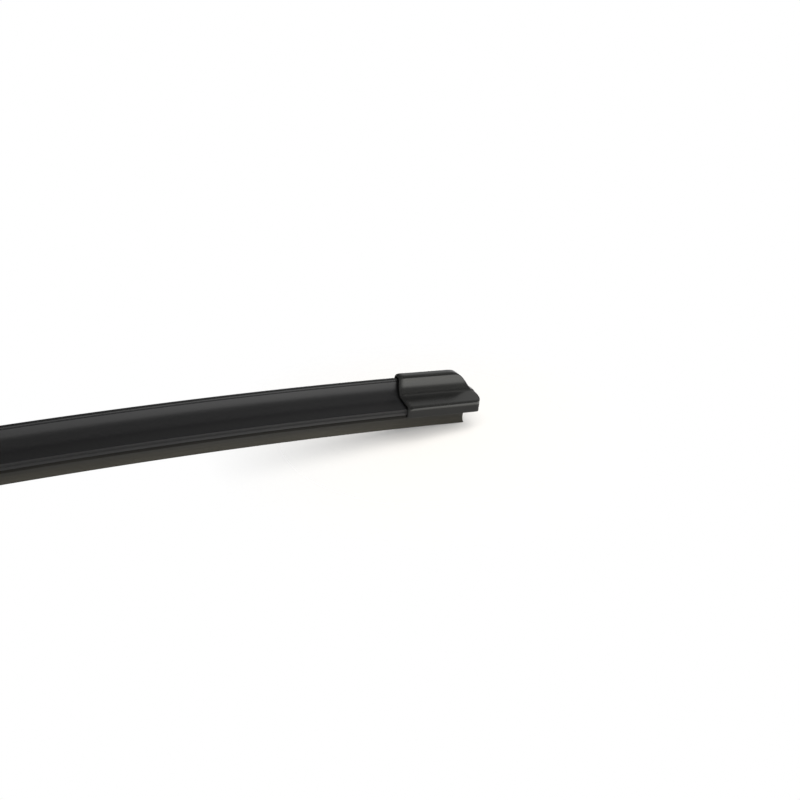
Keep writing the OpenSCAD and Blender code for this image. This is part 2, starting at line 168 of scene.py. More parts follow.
# %% Spread numbers evenly
def spread(first, last, count):
    return [first + (last - first) * k / (count - 1) for k in range(count)]


print("five numbers from 0 to 1", spread(0.0, 1.0, 5))

# %% [markdown]
# ## Sizes of the sections
#
# Rubber, rails and deflector hold each other by their sections, so one list of sizes
# serves all of them. The first cell has the sizes of the part's source, and the second
# the heights above the wiping edge at which one piece ends and the next begins.

# %% Sizes in the section
FIT = 0.08
SLIP = 0.14
HEAD_PLAY = 0.2
LIP_H = 1.2
WEDGE_Y = 3.2
NECK_Y = 0.6
FLANGE_Y = 3.9
WEB_Y = 0.7
HEAD_Y = 2.4
HEAD_H = 1.0
RAIL_W = 4.6
RAIL_T = 0.9
CLAW_T = 0.75
WALL_Y = 6.4
WALL_H = 2.55
SLOT_Y = 4.2
FIN_Y = 3.0
FIN_T = 1.55
FIN_H = 11.1
FIN_LEAN = 0.4
print("the rails are", RAIL_W, "by", RAIL_T, "mm")

# %% Heights and corners that follow
SHOULDER_Z0 = 5.6
SHOULDER_Z1 = 6.7
FLANGE_Z0 = 7.7
GROOVE_Z0 = 8.85
RAIL_Z0 = GROOVE_Z0 + FIT
RAIL_Z1 = RAIL_Z0 + RAIL_T
GROOVE_Z1 = RAIL_Z1 + FIT
HEAD_Z1 = GROOVE_Z1 + HEAD_H
RAIL_Y1 = WEB_Y + FIT + RAIL_W
CLAW_Z0 = GROOVE_Z0 - CLAW_T
CREASE_Z = CLAW_Z0 + WALL_H
FIN_Z = CLAW_Z0 + FIN_H
FOOT = (FIN_Y - FIN_LEAN, CREASE_Z + 1.9)
WAIST = (FIN_Y + FIN_T + 0.65, CREASE_Z + 2.75)
HEAD_ROOM = (HEAD_Y + HEAD_PLAY, HEAD_Z1 + HEAD_PLAY)
print("crease", CREASE_Z, "fin", FIN_Z)

# %% [markdown]
# ## The deflector
#
# On the road the hollow front face and the fin turn the wind into a force that holds
# the blade on the glass. The piece is extruded in soft plastic and slid over the
# springs: its claws reach under them. The photo shows thin lines that a plain section
# would miss: a groove just under the fin's top, and at the bottom the crease and a
# small bead, two light edges with a shallow cove between them. In the outline each of
# them is only a few corners more, and the sweep carries them along the whole blade.

# %% Outline of the deflector
BEAD_Z = CLAW_Z0 + 1.0
BEAD_UNDER = 0.35
COVE_DEPTH = 0.16
COVE_HALF = 0.57
COVE_Z = (BEAD_Z + CREASE_Z) / 2
LINE_R = 0.2
LINE_Z = FIN_Z - 0.95
LINE_Y = FIN_Y - FIN_LEAN * (FIN_Z - LINE_Z) / (FIN_Z - FOOT[1])
rail_slot = [
    (SLOT_Y, GROOVE_Z0, 0),
    (RAIL_Y1 + FIT, GROOVE_Z0, 0),
    (RAIL_Y1 + FIT, GROOVE_Z1, 0),
    (HEAD_ROOM[0], GROOVE_Z1, 0),
    (*HEAD_ROOM, 0)]


def deflector_outline():
    """From the front claw over the fin to the rear claw, and back round the rails."""
    corners = [
        (-SLOT_Y, CLAW_Z0, 0.15),
        (BEAD_UNDER - WALL_Y, CLAW_Z0, 0.12),
        (-WALL_Y, BEAD_Z, 0.16),
        (-WALL_Y, COVE_Z - COVE_HALF, 0.1),
        (COVE_DEPTH - WALL_Y, COVE_Z - 0.2, 0.4),
        (COVE_DEPTH - WALL_Y, COVE_Z + 0.2, 0.4),
        (-WALL_Y, COVE_Z + COVE_HALF, 0.1),
        (-WALL_Y, CREASE_Z, 0.4),
        (*FOOT, 6.2),
        (LINE_Y, LINE_Z - LINE_R, 0.12),
        (LINE_Y + LINE_R * 0.8, LINE_Z - 0.1, 0.12),
        (LINE_Y + LINE_R * 0.8, LINE_Z + 0.1, 0.12),
        (LINE_Y + 0.02, LINE_Z + LINE_R, 0.12),
        (FIN_Y, FIN_Z, 0.45),
        (FIN_Y + FIN_T, FIN_Z, 0.7),
        (*WAIST, 5.0),
        (WALL_Y, CREASE_Z, 0.5),
        (WALL_Y, CLAW_Z0, 0.25),
        (SLOT_Y, CLAW_Z0, 0.15),
        *rail_slot,
        *[(-y, z, radius) for y, z, radius in rail_slot[::-1]]]
    return rounded(corners, steps=7, share=0.7)


print("deflector outline", len(deflector_outline()), "points")

# %% Sweep a piece along the bow, on either side
BLADE = "blade"
SIDES = (("right", 1), ("left", -1))
CAP_LEN = 32.0
CAP_GRIP = 12.0
DEFLECTOR_START = 32.5
DEFLECTOR_END = HALF_LEN - CAP_LEN + CAP_GRIP
RING_STEP = 2.4


def swept(name, outline, start, end, side):
    count = int(abs(end - start) / RING_STEP) + 2
    rings = [[on_bow(along, p.x, p.y) for p in outline] for along in spread(start, end, count)]
    if side < 0:
        rings = [[Vector((-p.x, p.y, p.z)) for p in ring] for ring in rings]
    return skin(name, rings)


deflectors = []
for label, side in SIDES:
    piece = swept("deflector_%s_skin" % label, deflector_outline(),
                  DEFLECTOR_START, DEFLECTOR_END, side)
    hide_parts("deflector_%s" % label)
    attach(piece, BLADE)
    deflectors.append(piece)
    print(piece.name, len(piece.data.polygons), "faces")

# %% [markdown]
# ## The squeegee
#
# The rubber hangs from its grooved head by a thin neck, so that the wedge can tip over
# at each stroke. Below the wedge stands the thin lip that wipes. The ends are cut on a
# slant, with the lip furthest out, which shows in the photo just under the cap. A
# Boolean could cut the slant. Shifting each point of the last ring along the blade by
# its height gives the same with no cut.

# %% Outline of the rubber
LIP_Y = 0.4
FLANK_CURVE = 1.4


def rubber_half():
    """From the wiping edge up to the head, on one side."""
    flank = [(LIP_Y + (WEDGE_Y - LIP_Y) * t ** FLANK_CURVE, LIP_H + (SHOULDER_Z0 - LIP_H) * t)
             for t in spread(0.0, 1.0, 13)]
    return [
        (LIP_Y - 0.1, 0.0), (LIP_Y - 0.05, 0.06), (LIP_Y - 0.045, 0.6), *flank,
        (WEDGE_Y, SHOULDER_Z1 - 0.35), (WEDGE_Y - 0.08, SHOULDER_Z1 - 0.1),
        (WEDGE_Y - 0.3, SHOULDER_Z1), (NECK_Y + 0.2, SHOULDER_Z1 + 0.1),
        (NECK_Y + 0.05, SHOULDER_Z1 + 0.2), (NECK_Y, SHOULDER_Z1 + 0.35), (NECK_Y, FLANGE_Z0),
        (FLANGE_Y, FLANGE_Z0), (FLANGE_Y, GROOVE_Z0), (WEB_Y, GROOVE_Z0), (WEB_Y, GROOVE_Z1),
        (HEAD_Y, GROOVE_Z1), (HEAD_Y - 0.5, HEAD_Z1)]


def rubber_outline():
    half = rubber_half()
    return [Vector(p) for p in half] + [Vector((-y, z)) for y, z in half[::-1]]


print("rubber outline", len(rubber_outline()), "points")

# %% Stack the rubber's rings, with slanted ends
END_SLANT = 2.5
NECK_Z = SHOULDER_Z1 + 0.5
RUBBER_RINGS = 240


def slant(up):
    return END_SLANT * min(1.0, up / SHOULDER_Z0) if up < NECK_Z else 0.0


rings = []
for k, along in enumerate(spread(-RUBBER_REACH, RUBBER_REACH, RUBBER_RINGS)):
    pull = {0: 1.0, RUBBER_RINGS - 1: -1.0}.get(k, 0.0)
    rings.append([on_bow(along + pull * slant(p.y), p.x, p.y) for p in rubber_outline()])
rubber = skin("rubber_skin", rings)
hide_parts("rubber_element")
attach(rubber, BLADE)
print("rubber", len(rubber.data.polygons), "faces")

# %% [markdown]
# ## The end caps
#
# A cap is moulded, straight and a little larger than the deflector. Its fin curves down
# to the end and runs out softly into the shelf, and seen from above the end is a flat
# arch with round corners. Cutting such a form from a block would need many tools. A
# stack of rings gives it in one go. The rings start from the deflector's plain section,
# with all its edges moved out by a wall's thickness.


# %% Move the edges of an outline out
def grown(corners, distance):
    result = []
    for i, (y, z, radius) in enumerate(corners):
        corner = Vector((y, z))
        along_in = (corner - Vector(corners[i - 1][:2])).normalized()
        along_out = (Vector(corners[(i + 1) % len(corners)][:2]) - corner).normalized()
        out_in = Vector((-along_in.y, along_in.x))
        out_out = Vector((-along_out.y, along_out.x))
        moved = corner + (out_in + out_out) * distance / (1 + out_in.dot(out_out))
        hollow = along_in.x * along_out.y - along_in.y * along_out.x > 0
        result.append((moved.x, moved.y, max(0.05, radius + (-distance if hollow else distance))))
    return result


plain_deflector = [
    (-WALL_Y, CLAW_Z0, 0.25),
    (-WALL_Y, CREASE_Z, 0.4),
    (*FOOT, 4.0),
    (FIN_Y, FIN_Z, 0.7),
    (FIN_Y + FIN_T, FIN_Z, 0.7),
    (*WAIST, 5.0),
    (WALL_Y, CREASE_Z, 0.5),
    (WALL_Y, CLAW_Z0, 0.25)]
print("grown by 1 mm, the fin's top is at", round(grown(plain_deflector, 1.0)[3][1], 2))

# %% Outline of the cap's sleeve
CAP_GROW = SLIP + 1.2
CAP_Z0 = CLAW_Z0 - SLIP - 0.6
SLEEVE_RADII = (0.4, 1.7, 3.2, 1.45, 1.45, 4.0, 1.7, 0.4)
sleeve = [(y, max(z, CAP_Z0), radius)
          for (y, z, _), radius in zip(grown(plain_deflector, CAP_GROW), SLEEVE_RADII)]
CAP_TOP = sleeve[3][1]
foot_y, CAP_FOOT = sleeve[2][:2]
# The corner at the fin's foot becomes two: a tight one at the shelf and a wide one above.
sleeve[2:3] = [(foot_y - 1.25, CAP_FOOT - 0.25, 1.6), (foot_y + 0.15, CAP_FOOT + 3.1, 9.0)]


def filled(outline, longest):
    """The same outline, with points added along its straight stretches."""
    result = []
    for start, end in zip(outline, outline[1:] + outline[:1]):
        count = max(1, math.ceil((end - start).length / longest))
        result += [start.lerp(end, k / count) for k in range(count)]
    return result


sleeve_outline = filled(rounded(sleeve, steps=14), longest=0.3)
print("sleeve outline", len(sleeve_outline), "points, top", round(CAP_TOP, 2),
      "foot", round(CAP_FOOT, 2))

# %% [markdown]
# From ring to ring the fin's top is lowered along a power curve, which is blended into
# the shelf. The last rings narrow along a superellipse, a form between an ellipse and a
# box, and the end face has a small round edge. `smooth_min` takes the lower of two
# heights and rounds the corner between them.

# %% Width and height along the cap
NOSE_R = 3.2
NOSE_POWER = 3
NOSE_LIMIT = 0.9995
CAP_TAPER = 0.6
RAKE_X = CAP_LEN - 11.6
RAKE_STOP = 1.8
RAKE_POWER = 2.45
SHELF_DROP = 0.45
SHELF_BLEND = 2.0


def smooth_min(a, b, blend):
    h = max(0.0, blend - abs(a - b)) / blend
    return min(a, b) - h * h * blend / 4


def half_width(x):
    t = min(NOSE_LIMIT, max(0.0, (x - CAP_LEN + NOSE_R) / NOSE_R))
    taper = CAP_TAPER * x / CAP_LEN
    return (WALL_Y + CAP_GROW - taper) * (1 - t ** NOSE_POWER) ** (1 / NOSE_POWER)


def fin_top(x):
    t = max(0.0, (x - RAKE_X) / (CAP_LEN - RAKE_STOP - RAKE_X))
    fall = (CAP_TOP - CAP_FOOT) * t ** RAKE_POWER
    return CAP_TOP - smooth_min(fall, CAP_TOP - CAP_FOOT + SHELF_DROP, SHELF_BLEND)


print("half widths", [round(half_width(x), 2) for x in (0, 16, 30, 32)],
      "fin tops", [round(fin_top(x), 2) for x in (0, 24, 28, 32)])

# %% Fit the sleeve's outline to a place on the cap
MOUTH_ZONE = 4.0
SOFT_EDGE = 0.9
TINY = 1e-6
END_ROUND = 0.55
END_BASE_Z = CAP_Z0 + 2.0
END_HEIGHT = 4.5


def cap_point(point, x):
    """A point of the sleeve's outline, as the taper, the rake and the nose leave it at x."""
    across, up = point
    soft = SOFT_EDGE * min(1.0, x / MOUTH_ZONE) + TINY
    width = half_width(x) + soft / 4 + TINY
    across = math.copysign(smooth_min(abs(across), width, soft), across)
    up = smooth_min(up, fin_top(x) + soft / 4, soft)
    edge = max(0.0, (x - CAP_LEN + END_ROUND) / END_ROUND)
    shrink = END_ROUND * (1 - math.sqrt(1 - edge * edge))
    return across, END_BASE_Z + (up - END_BASE_Z) * (1 - shrink / END_HEIGHT)


print("first point at both ends", [[round(v, 2) for v in cap_point(sleeve_outline[0], x)]
                                   for x in (0, CAP_LEN)])

# %% Place a point of the cap
CAP_TURN = (HALF_LEN - CAP_LEN / 2) / BOW_R
CAP_MIDDLE_Z = 10
MOUTH_RAKE = 0.45


def on_cap(x, across, up, side):
    """Like on_bow, but straight: the cap touches the bow's direction at its middle."""
    x -= CAP_LEN / 2
    c, s = math.cos(CAP_TURN), math.sin(CAP_TURN)
    return Vector((
        side * (BOW_R * s + x * c + up * s),
        across,
        EDGE_Z + BOW_R * (c - 1) - x * s + up * c)) * MM


def cap_ring(x, flare, side):
    """A ring of the outside, drawn in by flare. Near the mouth its top leans out."""
    ring = []
    for point in sleeve_outline:
        across, up = cap_point(point, x)
        outwards = Vector((across, up - CAP_MIDDLE_Z)).normalized() * flare
        lean = MOUTH_RAKE * (up - CAP_Z0) / (CAP_TOP - CAP_Z0) * max(0.0, 1 - x / MOUTH_ZONE)
        ring.append(on_cap(x - lean, across - outwards.x, up - outwards.y, side))
    return ring


print("the cap is turned by", round(math.degrees(CAP_TURN), 2), "degrees")

# %% [markdown]
# ## The mouth of a cap
#
# The deflector enters the cap through a tunnel, and the rubber through a slot. Inner
# rings could form them, but they would have to meet the outer ones along the slot. So
# both are cut out of the closed skin with Boolean modifiers, and the result is kept.
# The tunnel opens with a short flare, which gives the dark line at the mouth in the
# photo, and the first rings of the outside are a little smaller, so that the mouth has
# no sharp corner. The mouth isn't quite upright either: its top reaches a little
# further along the deflector.


# %% Cut one closed mesh with others
def cut_out(piece, cutters):
    for cutter in cutters:
        tool = piece.modifiers.new("cut", "BOOLEAN")
        tool.object = cutter
        tool.operation = "DIFFERENCE"
        tool.solver = "EXACT"
    view = bpy.context.evaluated_depsgraph_get()
    result = bpy.data.meshes.new_from_object(piece.evaluated_get(view))
    piece.modifiers.clear()
    piece.data = result
    for cutter in cutters:
        bpy.data.objects.remove(cutter)
    shade(result)


print("a cap is cut twice: for the deflector and for the rubber")

# %% Rings of the cap's outside, its tunnel and the rubber's room
MOUTH_FLARE = (
    (0.0, 0.55), (0.1, 0.42), (0.3, 0.28), (0.6, 0.16), (1.0, 0.07), (1.5, 0.015), (2.0, 0.0))
PLAIN_RINGS = 7
RAKE_RINGS = 36
NOSE_RINGS = 32
BEFORE_MOUTH = -2.0
TUNNEL_FLARE = ((BEFORE_MOUTH, 0.5), (0.1, 0.5), (1.0, 0.02), (CAP_GRIP + SLIP, 0.0))
CAP_END_WALL = 1.6
INSIDE = 0.02  # keeps the nose within the CAD's box


def cap_rings(side):
    along = spread(3.0, RAKE_X - 0.5, PLAIN_RINGS)
    along += spread(RAKE_X, CAP_LEN - NOSE_R, RAKE_RINGS)
    for angle in spread(0.0, 90.0, NOSE_RINGS + 1)[1:]:
        along.append(CAP_LEN - INSIDE - NOSE_R * (1 - math.sin(math.radians(angle))))
    rings = [cap_ring(x, flare, side) for x, flare in MOUTH_FLARE]
    return rings + [cap_ring(x, 0.0, side) for x in along]


def tunnel_rings(side):
    return [[on_cap(x, p.x, p.y, side) for p in rounded(grown(plain_deflector, SLIP + extra))]
            for x, extra in TUNNEL_FLARE]


def room_rings(side):
    half = [
        (SLOT_Y, CAP_Z0 - 2), (SLOT_Y, RAIL_Z0 - SLIP), (RAIL_Y1 + SLIP, RAIL_Z0 - SLIP),
        (RAIL_Y1 + SLIP, RAIL_Z1 + SLIP), (HEAD_ROOM[0], RAIL_Z1 + SLIP), HEAD_ROOM]
    outline = [(-y, z) for y, z in half] + half[::-1]
    return [[on_cap(x, y, z, side) for y, z in outline]
            for x in (BEFORE_MOUTH, CAP_LEN - CAP_END_WALL)]


print("rings of a cap", len(cap_rings(1)))

# %% Make both caps
caps = []
for label, side in SIDES:
    cap = skin("end_cap_%s_skin" % label, cap_rings(side))
    cut_out(cap, [skin("tunnel", tunnel_rings(side)), skin("room", room_rings(side))])
    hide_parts("end_cap_%s" % label)
    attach(cap, BLADE)
    caps.append(cap)
    print(cap.name, len(cap.data.polygons), "faces")

# %% [markdown]
# ## Shader maths as expressions
#
# A finish is a small calculation for each point of the surface. A `Wire` stands for a
# socket's output, and arithmetic on it adds the Math nodes, so that a mask can be
# written as `1 - mask`. `Nodes` fills a tree, and its `node` method makes any other node
# from its type, its settings and what goes into its sockets. A `Finish` is one material,
# which also knows the bow, so that its patterns can follow the blade.


# %% A socket that calculates
class Wire:
    def __init__(self, nodes, socket):
        self.nodes = nodes
        self.socket = socket

    def maths(self, operation, first, second=0.0):
        return self.nodes.node("Math", {"operation": operation}, {0: first, 1: second})

    def __add__(self, other):
        return self.maths("ADD", self, other)

    def __radd__(self, other):
        return self.maths("ADD", other, self)

    def __sub__(self, other):
        return self.maths("SUBTRACT", self, other)

    def __rsub__(self, other):
        return self.maths("SUBTRACT", other, self)

    def __mul__(self, other):
        return self.maths("MULTIPLY", self, other)

    def __rmul__(self, other):
        return self.maths("MULTIPLY", other, self)

    def __pow__(self, other):
        return self.maths("POWER", self, other)

    def __abs__(self):
        return self.maths("ABSOLUTE", self)

    def at_least(self, other):
        return self.maths("MAXIMUM", self, other)


print("a wire adds Math nodes for + - * ** abs and at_least")


# %% Nodes made by expressions
class Nodes:
    def __init__(self, tree):
        self.tree = tree

    def feed(self, socket, value):
        if isinstance(value, Wire):
            self.tree.links.new(value.socket, socket)
        else:
            socket.default_value = value

    def node(self, kind, settings=None, sockets=None, out=0):
        made = self.tree.nodes.new("ShaderNode" + kind)
        for name, value in (settings or {}).items():
            if name == "stops":
                for stop, (place, grey) in zip(made.color_ramp.elements, value):
                    stop.position = place
                    stop.color = (grey, grey, grey, 1)
            else:
                setattr(made, name, value)
        for name, value in (sockets or {}).items():
            self.feed(made.inputs[name], value)
        return Wire(self, made.outputs[out])

    def ramp(self, value, low, high):
        """0 up to low, 1 from high on. The value has to lie between 0 and 1 to be read."""
        return self.node("ValToRGB", {"stops": ((low, 0.0), (high, 1.0))}, {0: value})

    def split(self, vector, axes="XYZ"):
        return [self.node("SeparateXYZ", {}, {0: vector}, out=axis) for axis in axes]

    def grey(self, value):
        return self.node("CombineColor", {}, {0: value, 1: value, 2: value})

    def camera_ray(self):
        return self.node("LightPath", out="Is Camera Ray")

    def mirrored_ray(self):
        """1 for a ray that a reflection or a clear piece sent on."""
        glossy_ray = self.node("LightPath", out="Is Glossy Ray")
        return glossy_ray.at_least(self.node("LightPath", out="Is Transmission Ray"))


print("a tree is filled by", sorted(name for name in vars(Nodes) if name[0] != "_"))


# %% A finish is one material
class Finish(Nodes):
    def __init__(self, name):
        self.material = bpy.data.materials.new(name)
        self.material.use_nodes = True
        super().__init__(self.material.node_tree)
        self.shader = self.tree.nodes["Principled BSDF"]

    def set(self, name, value):
        self.feed(self.shader.inputs[name], value)

    def colour(self, red, green, blue):
        self.set("Base Color", (red, green, blue, 1))

    def position(self):
        return self.node("TexCoord", out="Object")

    def noise(self, where, scale, detail=2.0):
        return self.node("TexNoise", {}, {"Vector": where, "Scale": scale, "Detail": detail})

    def mix(self, mask, dark, light):
        # Sockets 6 and 7 and output 2 are the ones for colours.
        return self.node("Mix", {"data_type": "RGBA"}, {0: mask, 6: (*dark, 1), 7: (*light, 1)}, 2)

    def bump(self, height, distance_mm, soft_edge_mm=0.0):
        sockets = {"Height": height, "Distance": distance_mm * MM}
        if soft_edge_mm:
            sockets["Normal"] = self.node("Bevel", {"samples": 8}, {"Radius": soft_edge_mm * MM})
        self.set("Normal", self.node("Bump", {}, sockets))

    def blend(self, mask, first, second):
        """The first shader where the mask is 0, the second where it is 1."""
        return self.node("MixShader", {}, {0: mask, 1: first, 2: second})

    def principled(self):
        return Wire(self, self.shader.outputs[0])

    def show(self, shader):
        self.feed(self.tree.nodes["Material Output"].inputs[0], shader)


print("a finish adds", sorted(name for name in vars(Finish) if name[0] != "_"))


# %% A finish that follows the blade
class BladeFinish(Finish):
    def on_the_bow(self):
        """Distance along the blade, across it, and the height above the wiping edge."""
        x, y, z = self.split(self.position())
        down = z - (EDGE_Z - BOW_R) * MM
        turn = x.maths("ARCTAN2", x, down)
        height = (x * x + down * down) ** 0.5 - BOW_R * MM
        return turn * (BOW_R * MM), y, height

    def along_blade(self, stretch):
        """Coordinates that follow the bow, drawn out along the blade."""
        along, across, height = self.on_the_bow()
        return self.node("CombineXYZ", {}, {0: along * (1 / stretch), 1: across, 2: height})

    def below(self, low, high, scale=10):
        """1 under the height low, 0 over the height high, in millimetres. See ramp."""
        height = self.on_the_bow()[2]
        return 1 - self.ramp(height * scale, low * MM * scale, high * MM * scale)


print("the bow's centre is at height", round((EDGE_Z - BOW_R) * MM, 4))


# %% Put a finish on pieces
def dress(finish, *pieces):
    for piece in pieces:
        piece.data.materials.clear()
        piece.data.materials.append(finish.material)
        print(finish.material.name, "on", piece.name)


# %% [markdown]
# ## The deflector's finish
#
# Extruded plastic comes out of its die with very fine lines along it and a satin gloss.
# An image of such lines would have to be very large to stay sharp along 60 cm. So they
# are noise drawn out along the bow: they change the gloss a little and bend the light
# a little, and stay too fine to be seen one by one from a step away. The fin
# is rubbed smoother at its top than at its foot, and the narrow wall below the crease
# is matt, so two masks made from the height over the glass change the roughness. A
# ramp reads values from 0 to 1, so the height in metres is multiplied by ten first.

# %% Satin extruded plastic
satin = BladeFinish("satin_extrusion")
lines = satin.noise(satin.along_blade(stretch=300.0), scale=2600.0)
waves = satin.noise(satin.along_blade(stretch=12.0), scale=160.0)
low_edge = satin.below(CREASE_Z - 0.2, CREASE_Z + 0.3)
low_fin = satin.below(CREASE_Z + 3.5, FIN_Z - 1.0)
satin.set("Specular IOR Level", 1.0)
satin.set("Roughness", 0.22 + 0.08 * lines + 0.2 * low_fin + 0.3 * low_edge)
satin.bump(lines * 0.35 + waves, distance_mm=0.006)
dust = satin.ramp(satin.noise(satin.position(), scale=900.0, detail=3.0), 0.66, 0.8)
satin.set("Base Color", satin.mix(dust, (0.0088, 0.0088, 0.009), (0.015, 0.015, 0.0146)))
dress(satin, *deflectors)

# %% [markdown]
# ## The caps' finish
#
# The caps are injection moulded in a harder plastic. The photo shows them glossier than
# the deflector, with a broad soft highlight along the fin, so they have a coat over the
# base, and only a fine spark-eroded grain breaks it. The wall below the crease and the
# rim of the mouth are dull in the photo. The specular level of a shader can't change
# over a surface here, so a second, dull shader takes over there through a Mix Shader.

# %% Moulded plastic
moulded = BladeFinish("moulded_black")
moulded.set("Specular IOR Level", 0.8)
moulded.set("Specular Tint", (1.0, 1.0, 0.92, 1.0))
moulded.set("Coat Weight", 1.0)
moulded.set("Coat Roughness", 0.2)
moulded.set("Coat IOR", 1.6)
grain = moulded.noise(moulded.position(), scale=5200.0, detail=3.0)
patches = moulded.noise(moulded.position(), scale=70.0)
moulded.set("Roughness", 0.22 + 0.08 * patches)
moulded.bump(grain, distance_mm=0.0025)
moulded.set("Base Color", moulded.mix(patches, (0.005, 0.005, 0.0048), (0.008, 0.008, 0.0077)))
dress(moulded, *caps)

# %% Dull rim and lower wall
dull = moulded.node("BsdfPrincipled", {}, {
    "Base Color": (0.014, 0.014, 0.0134, 1), "Roughness": 0.55, "Specular IOR Level": 0.35})
low_wall = moulded.below(CREASE_Z - 0.3, CREASE_Z + 0.1)
from_mouth = abs(moulded.on_the_bow()[0]) - (HALF_LEN - CAP_LEN) * MM
# Times 400, the first 2.5 mm from the mouth give the values from 0 to 1 for the ramp.
rim = 1 - moulded.ramp(from_mouth * 400, 0.1, 0.7)
moulded.show(moulded.blend(rim.at_least(low_wall), moulded.principled(), dull))
print("moulded nodes", len(moulded.tree.nodes))

# %% [markdown]
# ## The rubber's finish
#
# Wiper rubber is coated with a grey dry film, so it is duller than the plastic. Broad patches of
# that film and fine lines along the mould show in it. The rubber is also painted lighter and
# browner from the head down to the lip: a painted bounce of warm light from the white sheet. One
# mask, from noise and from the height over the wiping edge, mixes two greys for the film and for
# that painted light.

# %% Coated rubber
coated = BladeFinish("coated_rubber")
film = coated.noise(coated.along_blade(stretch=20.0), scale=700.0, detail=3.0)
streaks = coated.noise(coated.along_blade(stretch=200.0), scale=3200.0)
# Painted light: the height part of this mask makes the rubber lighter and browner towards the lip,
# as light bounced from the sheet would.
film_and_painted_bounce = film * 0.35 + coated.below(1.0, 6.0, scale=100) * 0.65
coated.set("Base Color", coated.mix(film_and_painted_bounce, (0.006, 0.0059, 0.0052), (0.07, 0.0665, 0.055)))
coated.set("Specular IOR Level", 0.22)
coated.set("Roughness", 0.5 + 0.16 * streaks)
coated.bump(streaks * 0.6 + film, distance_mm=0.01)
dress(coated, rubber)

# %% [markdown]
# ## Metal and the connector's plastics
#
# The connector lies outside the photo. Its pieces keep their CAD shapes and get the
# finishes such parts have: rolled spring steel, a turned rivet, a coated casting and
# two moulded plastics. A Bevel modifier would change the CAD's meshes, so a Bevel node
# that feeds the normal only makes the edges look soft.

# %% Rolled rails and the turned rivet
steel = BladeFinish("rolled_steel")
steel.colour(0.42, 0.43, 0.44)
steel.set("Metallic", 1.0)
rolling = steel.noise(steel.along_blade(stretch=120.0), scale=2400.0)
steel.set("Roughness", 0.24 + 0.2 * rolling)
steel.bump(rolling, distance_mm=0.004)
dress(steel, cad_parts["rail_front"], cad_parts["rail_rear"])

turned = Finish("turned_rivet")
turned.colour(0.5, 0.5, 0.51)
turned.set("Metallic", 1.0)
tool_marks = turned.node("TexWave", {"wave_type": "RINGS", "rings_direction": "Y"},
                         {"Vector": turned.position(), "Scale": 900.0, "Distortion": 0.4})
turned.set("Roughness", 0.22 + 0.12 * tool_marks)
turned.bump(tool_marks, distance_mm=0.004)
dress(turned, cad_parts["pivot_pin"])

# %% Coated casting, moulded cover and clip
casting = Finish("coated_casting")
peel = casting.noise(casting.position(), scale=1600.0, detail=3.0)
casting.set("Base Color", casting.mix(peel, (0.045, 0.045, 0.048), (0.075, 0.075, 0.078)))
casting.set("Roughness", 0.38 + 0.16 * peel)
casting.bump(peel, distance_mm=0.02, soft_edge_mm=0.35)
dress(casting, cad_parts["connector_base"])

shell = Finish("moulded_shell")
shell.colour(0.014, 0.014, 0.0145)
shell_grain = shell.noise(shell.position(), scale=3600.0, detail=3.0)
shell.set("Roughness", 0.32 + 0.1 * shell_grain)
shell.bump(shell_grain, distance_mm=0.012, soft_edge_mm=0.45)
dress(shell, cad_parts["connector_cover"])

clip = Finish("moulded_clip")
clip.colour(0.02, 0.02, 0.021)
clip_grain = clip.noise(clip.position(), scale=4200.0, detail=3.0)
clip.set("Roughness", 0.34 + 0.12 * clip_grain)
clip.bump(clip_grain, distance_mm=0.012, soft_edge_mm=0.3)
dress(clip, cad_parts["arm_adapter"])

# %% [markdown]
# ## The sheet
#
# The blade stands on the tips of its lip on a white sheet. In the photo the sheet is
# pure white, with one soft shadow under the cap. Brighter lamps would give such a sheet
# and spoil the black plastic. So the camera's rays pass through the sheet to a white
# world, and only near the cap most of the sheet's own shade is left, and with it the
# shadow. A Light Path node tells the camera's rays apart. This also keeps the half of
# the blade in view that swings below the sheet when the blade rocks. Reflections and
# clear pieces see the sheet glow instead, but not in the shadow. The glow is weaker to
# the left and far behind the blade, where the black faces of the photo are darker.

# %% Floor
FLOOR_Z = on_bow(RUBBER_REACH, 0, 0).z
FLOOR_HALF = 9
floor_mesh = bpy.data.meshes.new("floor")
floor_mesh.from_pydata(
    [(x * FLOOR_HALF, y * FLOOR_HALF, FLOOR_Z) for x, y in ((-1, -1), (1, -1), (1, 1), (-1, 1))],
    [], [(0, 1, 2, 3)])
floor = bpy.data.objects.new("floor", floor_mesh)
bpy.context.collection.objects.link(floor)
print("floor at", round(FLOOR_Z, 4))

# %% White sheet with one shadow
SHADOW_PLACE = (0.28, 0, FLOOR_Z)
LEAST_CLEAR = 0.29
paper = Finish("white_sheet")
paper.colour(0.95, 0.915, 0.86)
paper.set("Roughness", 0.9)
paper.set("Specular IOR Level", 0.0)
distance = paper.node("VectorMath", {"operation": "DISTANCE"},
                      {0: paper.position(), 1: SHADOW_PLACE}, out="Value")
clearness = LEAST_CLEAR + (1 - LEAST_CLEAR) * paper.ramp(distance * 10, 0.1, 0.85)
sheet_x, sheet_y = paper.split(paper.position(), "XY")
far_side = 1 - paper.ramp(sheet_x * 4, 0.5, 1.1)
behind = paper.ramp(sheet_y * 2, 0.1, 0.5)
glow = paper.node("Emission", {}, {
    "Color": paper.grey((1 - 0.45 * far_side) * (1 - 0.6 * behind)), "Strength": 1.0})
sheet = paper.blend(clearness * paper.mirrored_ray(), paper.principled(), glow)
clear = paper.node("BsdfTransparent", {}, {"Color": (1, 1, 1, 1)})
paper.show(paper.blend(clearness * paper.camera_ray(), sheet, clear))
dress(paper, floor)

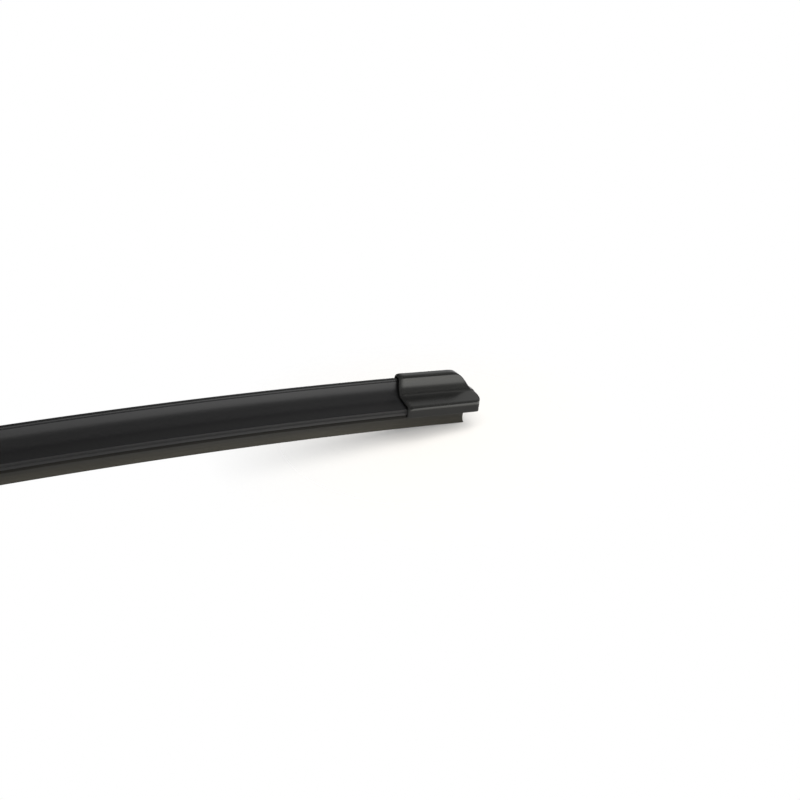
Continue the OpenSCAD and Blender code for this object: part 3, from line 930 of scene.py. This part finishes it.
# %% [markdown]
# ## The room, the light and the camera
#
# Black plastic shows mostly what it mirrors. The photo's hollow faces are dark and its
# faces towards the front are light, so the room is dim overhead, brighter to the right,
# and white low down in front. A picture of a studio could give all that, but a few ramps
# over the ray's direction need no file and are easier to steer. Only reflections and
# clear pieces see that white, and the camera sees nothing but white. One large soft lamp
# gives the shadow, and reflections don't see it. The camera looks along the blade's
# right half from in front and above, close enough that the end cap fills a tenth of the
# frame's width.

# %% Room
DIMMEST = 0.035
RIGHT_WALL = 0.26
FRONT_FALL = 11.0
world = bpy.data.worlds.new("studio")
bpy.context.scene.world = world
world.use_nodes = True
studio = Nodes(world.node_tree)
side_x, depth_y, height_z = studio.split(studio.node("TexCoord", out="Generated"))
walls = (studio.ramp(side_x, 0.1, 0.6) * RIGHT_WALL + DIMMEST) * (0.8 + 0.45 * depth_y)
towards_front = studio.ramp(0.5 - 0.5 * depth_y, 0.4, 0.65)
front = towards_front * (1 - height_z.at_least(0.0)) ** FRONT_FALL
low_band = 1 - studio.ramp(height_z, 0.03, 0.14)
sweep = low_band * (1 - 0.6 * studio.ramp(depth_y, 0.0, 0.4))
white = (studio.mirrored_ray() * front.at_least(sweep)).at_least(studio.camera_ray())
backdrop = world.node_tree.nodes["Background"]
studio.feed(backdrop.inputs["Color"], studio.grey(walls + (1 - walls) * white))
studio.feed(backdrop.inputs["Strength"], 1.0)
print("room nodes", len(world.node_tree.nodes))


# %% Lamp
def softbox(name, place, target, width, height, radiance):
    lamp = bpy.data.lights.new(name, "AREA")
    lamp.shape = "RECTANGLE"
    lamp.size = width
    lamp.size_y = height
    lamp.energy = radiance * math.pi * width * height
    box = bpy.data.objects.new(name, lamp)
    box.location = place
    box.rotation_euler = (Vector(target) - Vector(place)).to_track_quat("-Z", "Y").to_euler()
    box.visible_glossy = False
    bpy.context.collection.objects.link(box)
    print(name, round(lamp.energy, 1), "watts")


softbox("overhead_light", place=(0.5, -0.45, 0.85), target=(0.3, 0, 0),
        width=1.5, height=1.5, radiance=2.9)

# %% Camera
FRAME_PX = 800
FOCAL_PX = 1238
SENSOR_MM = 36
YAW = math.radians(27)
TILT = math.radians(26)
EYE_DISTANCE = 0.465
look = Vector((math.sin(YAW) * math.cos(TILT), math.cos(YAW) * math.cos(TILT), -math.sin(TILT)))
target = on_bow(HALF_LEN - CAP_LEN + 3, 0, 9)  # just inside the cap's mouth
camera = bpy.data.cameras.new("camera")
camera.sensor_width = SENSOR_MM
camera.lens = FOCAL_PX / FRAME_PX * SENSOR_MM
camera.shift_x = -6.2 / FRAME_PX
camera.shift_y = 6.1 / FRAME_PX
camera.clip_start = 0.01
camera.clip_end = 50
eye = bpy.data.objects.new("camera", camera)
eye.location = target - look * EYE_DISTANCE
eye.rotation_euler = look.to_track_quat("-Z", "Y").to_euler()
bpy.context.collection.objects.link(eye)
bpy.context.scene.camera = eye
bpy.context.scene.view_settings.view_transform = "Standard"
print("camera at", [round(v, 3) for v in eye.location])

# %% [markdown]
# ## Sizes at the end
#
# Blender changes nothing in the blade's size. The box of the CAD is printed.

print("cad", cad_box)
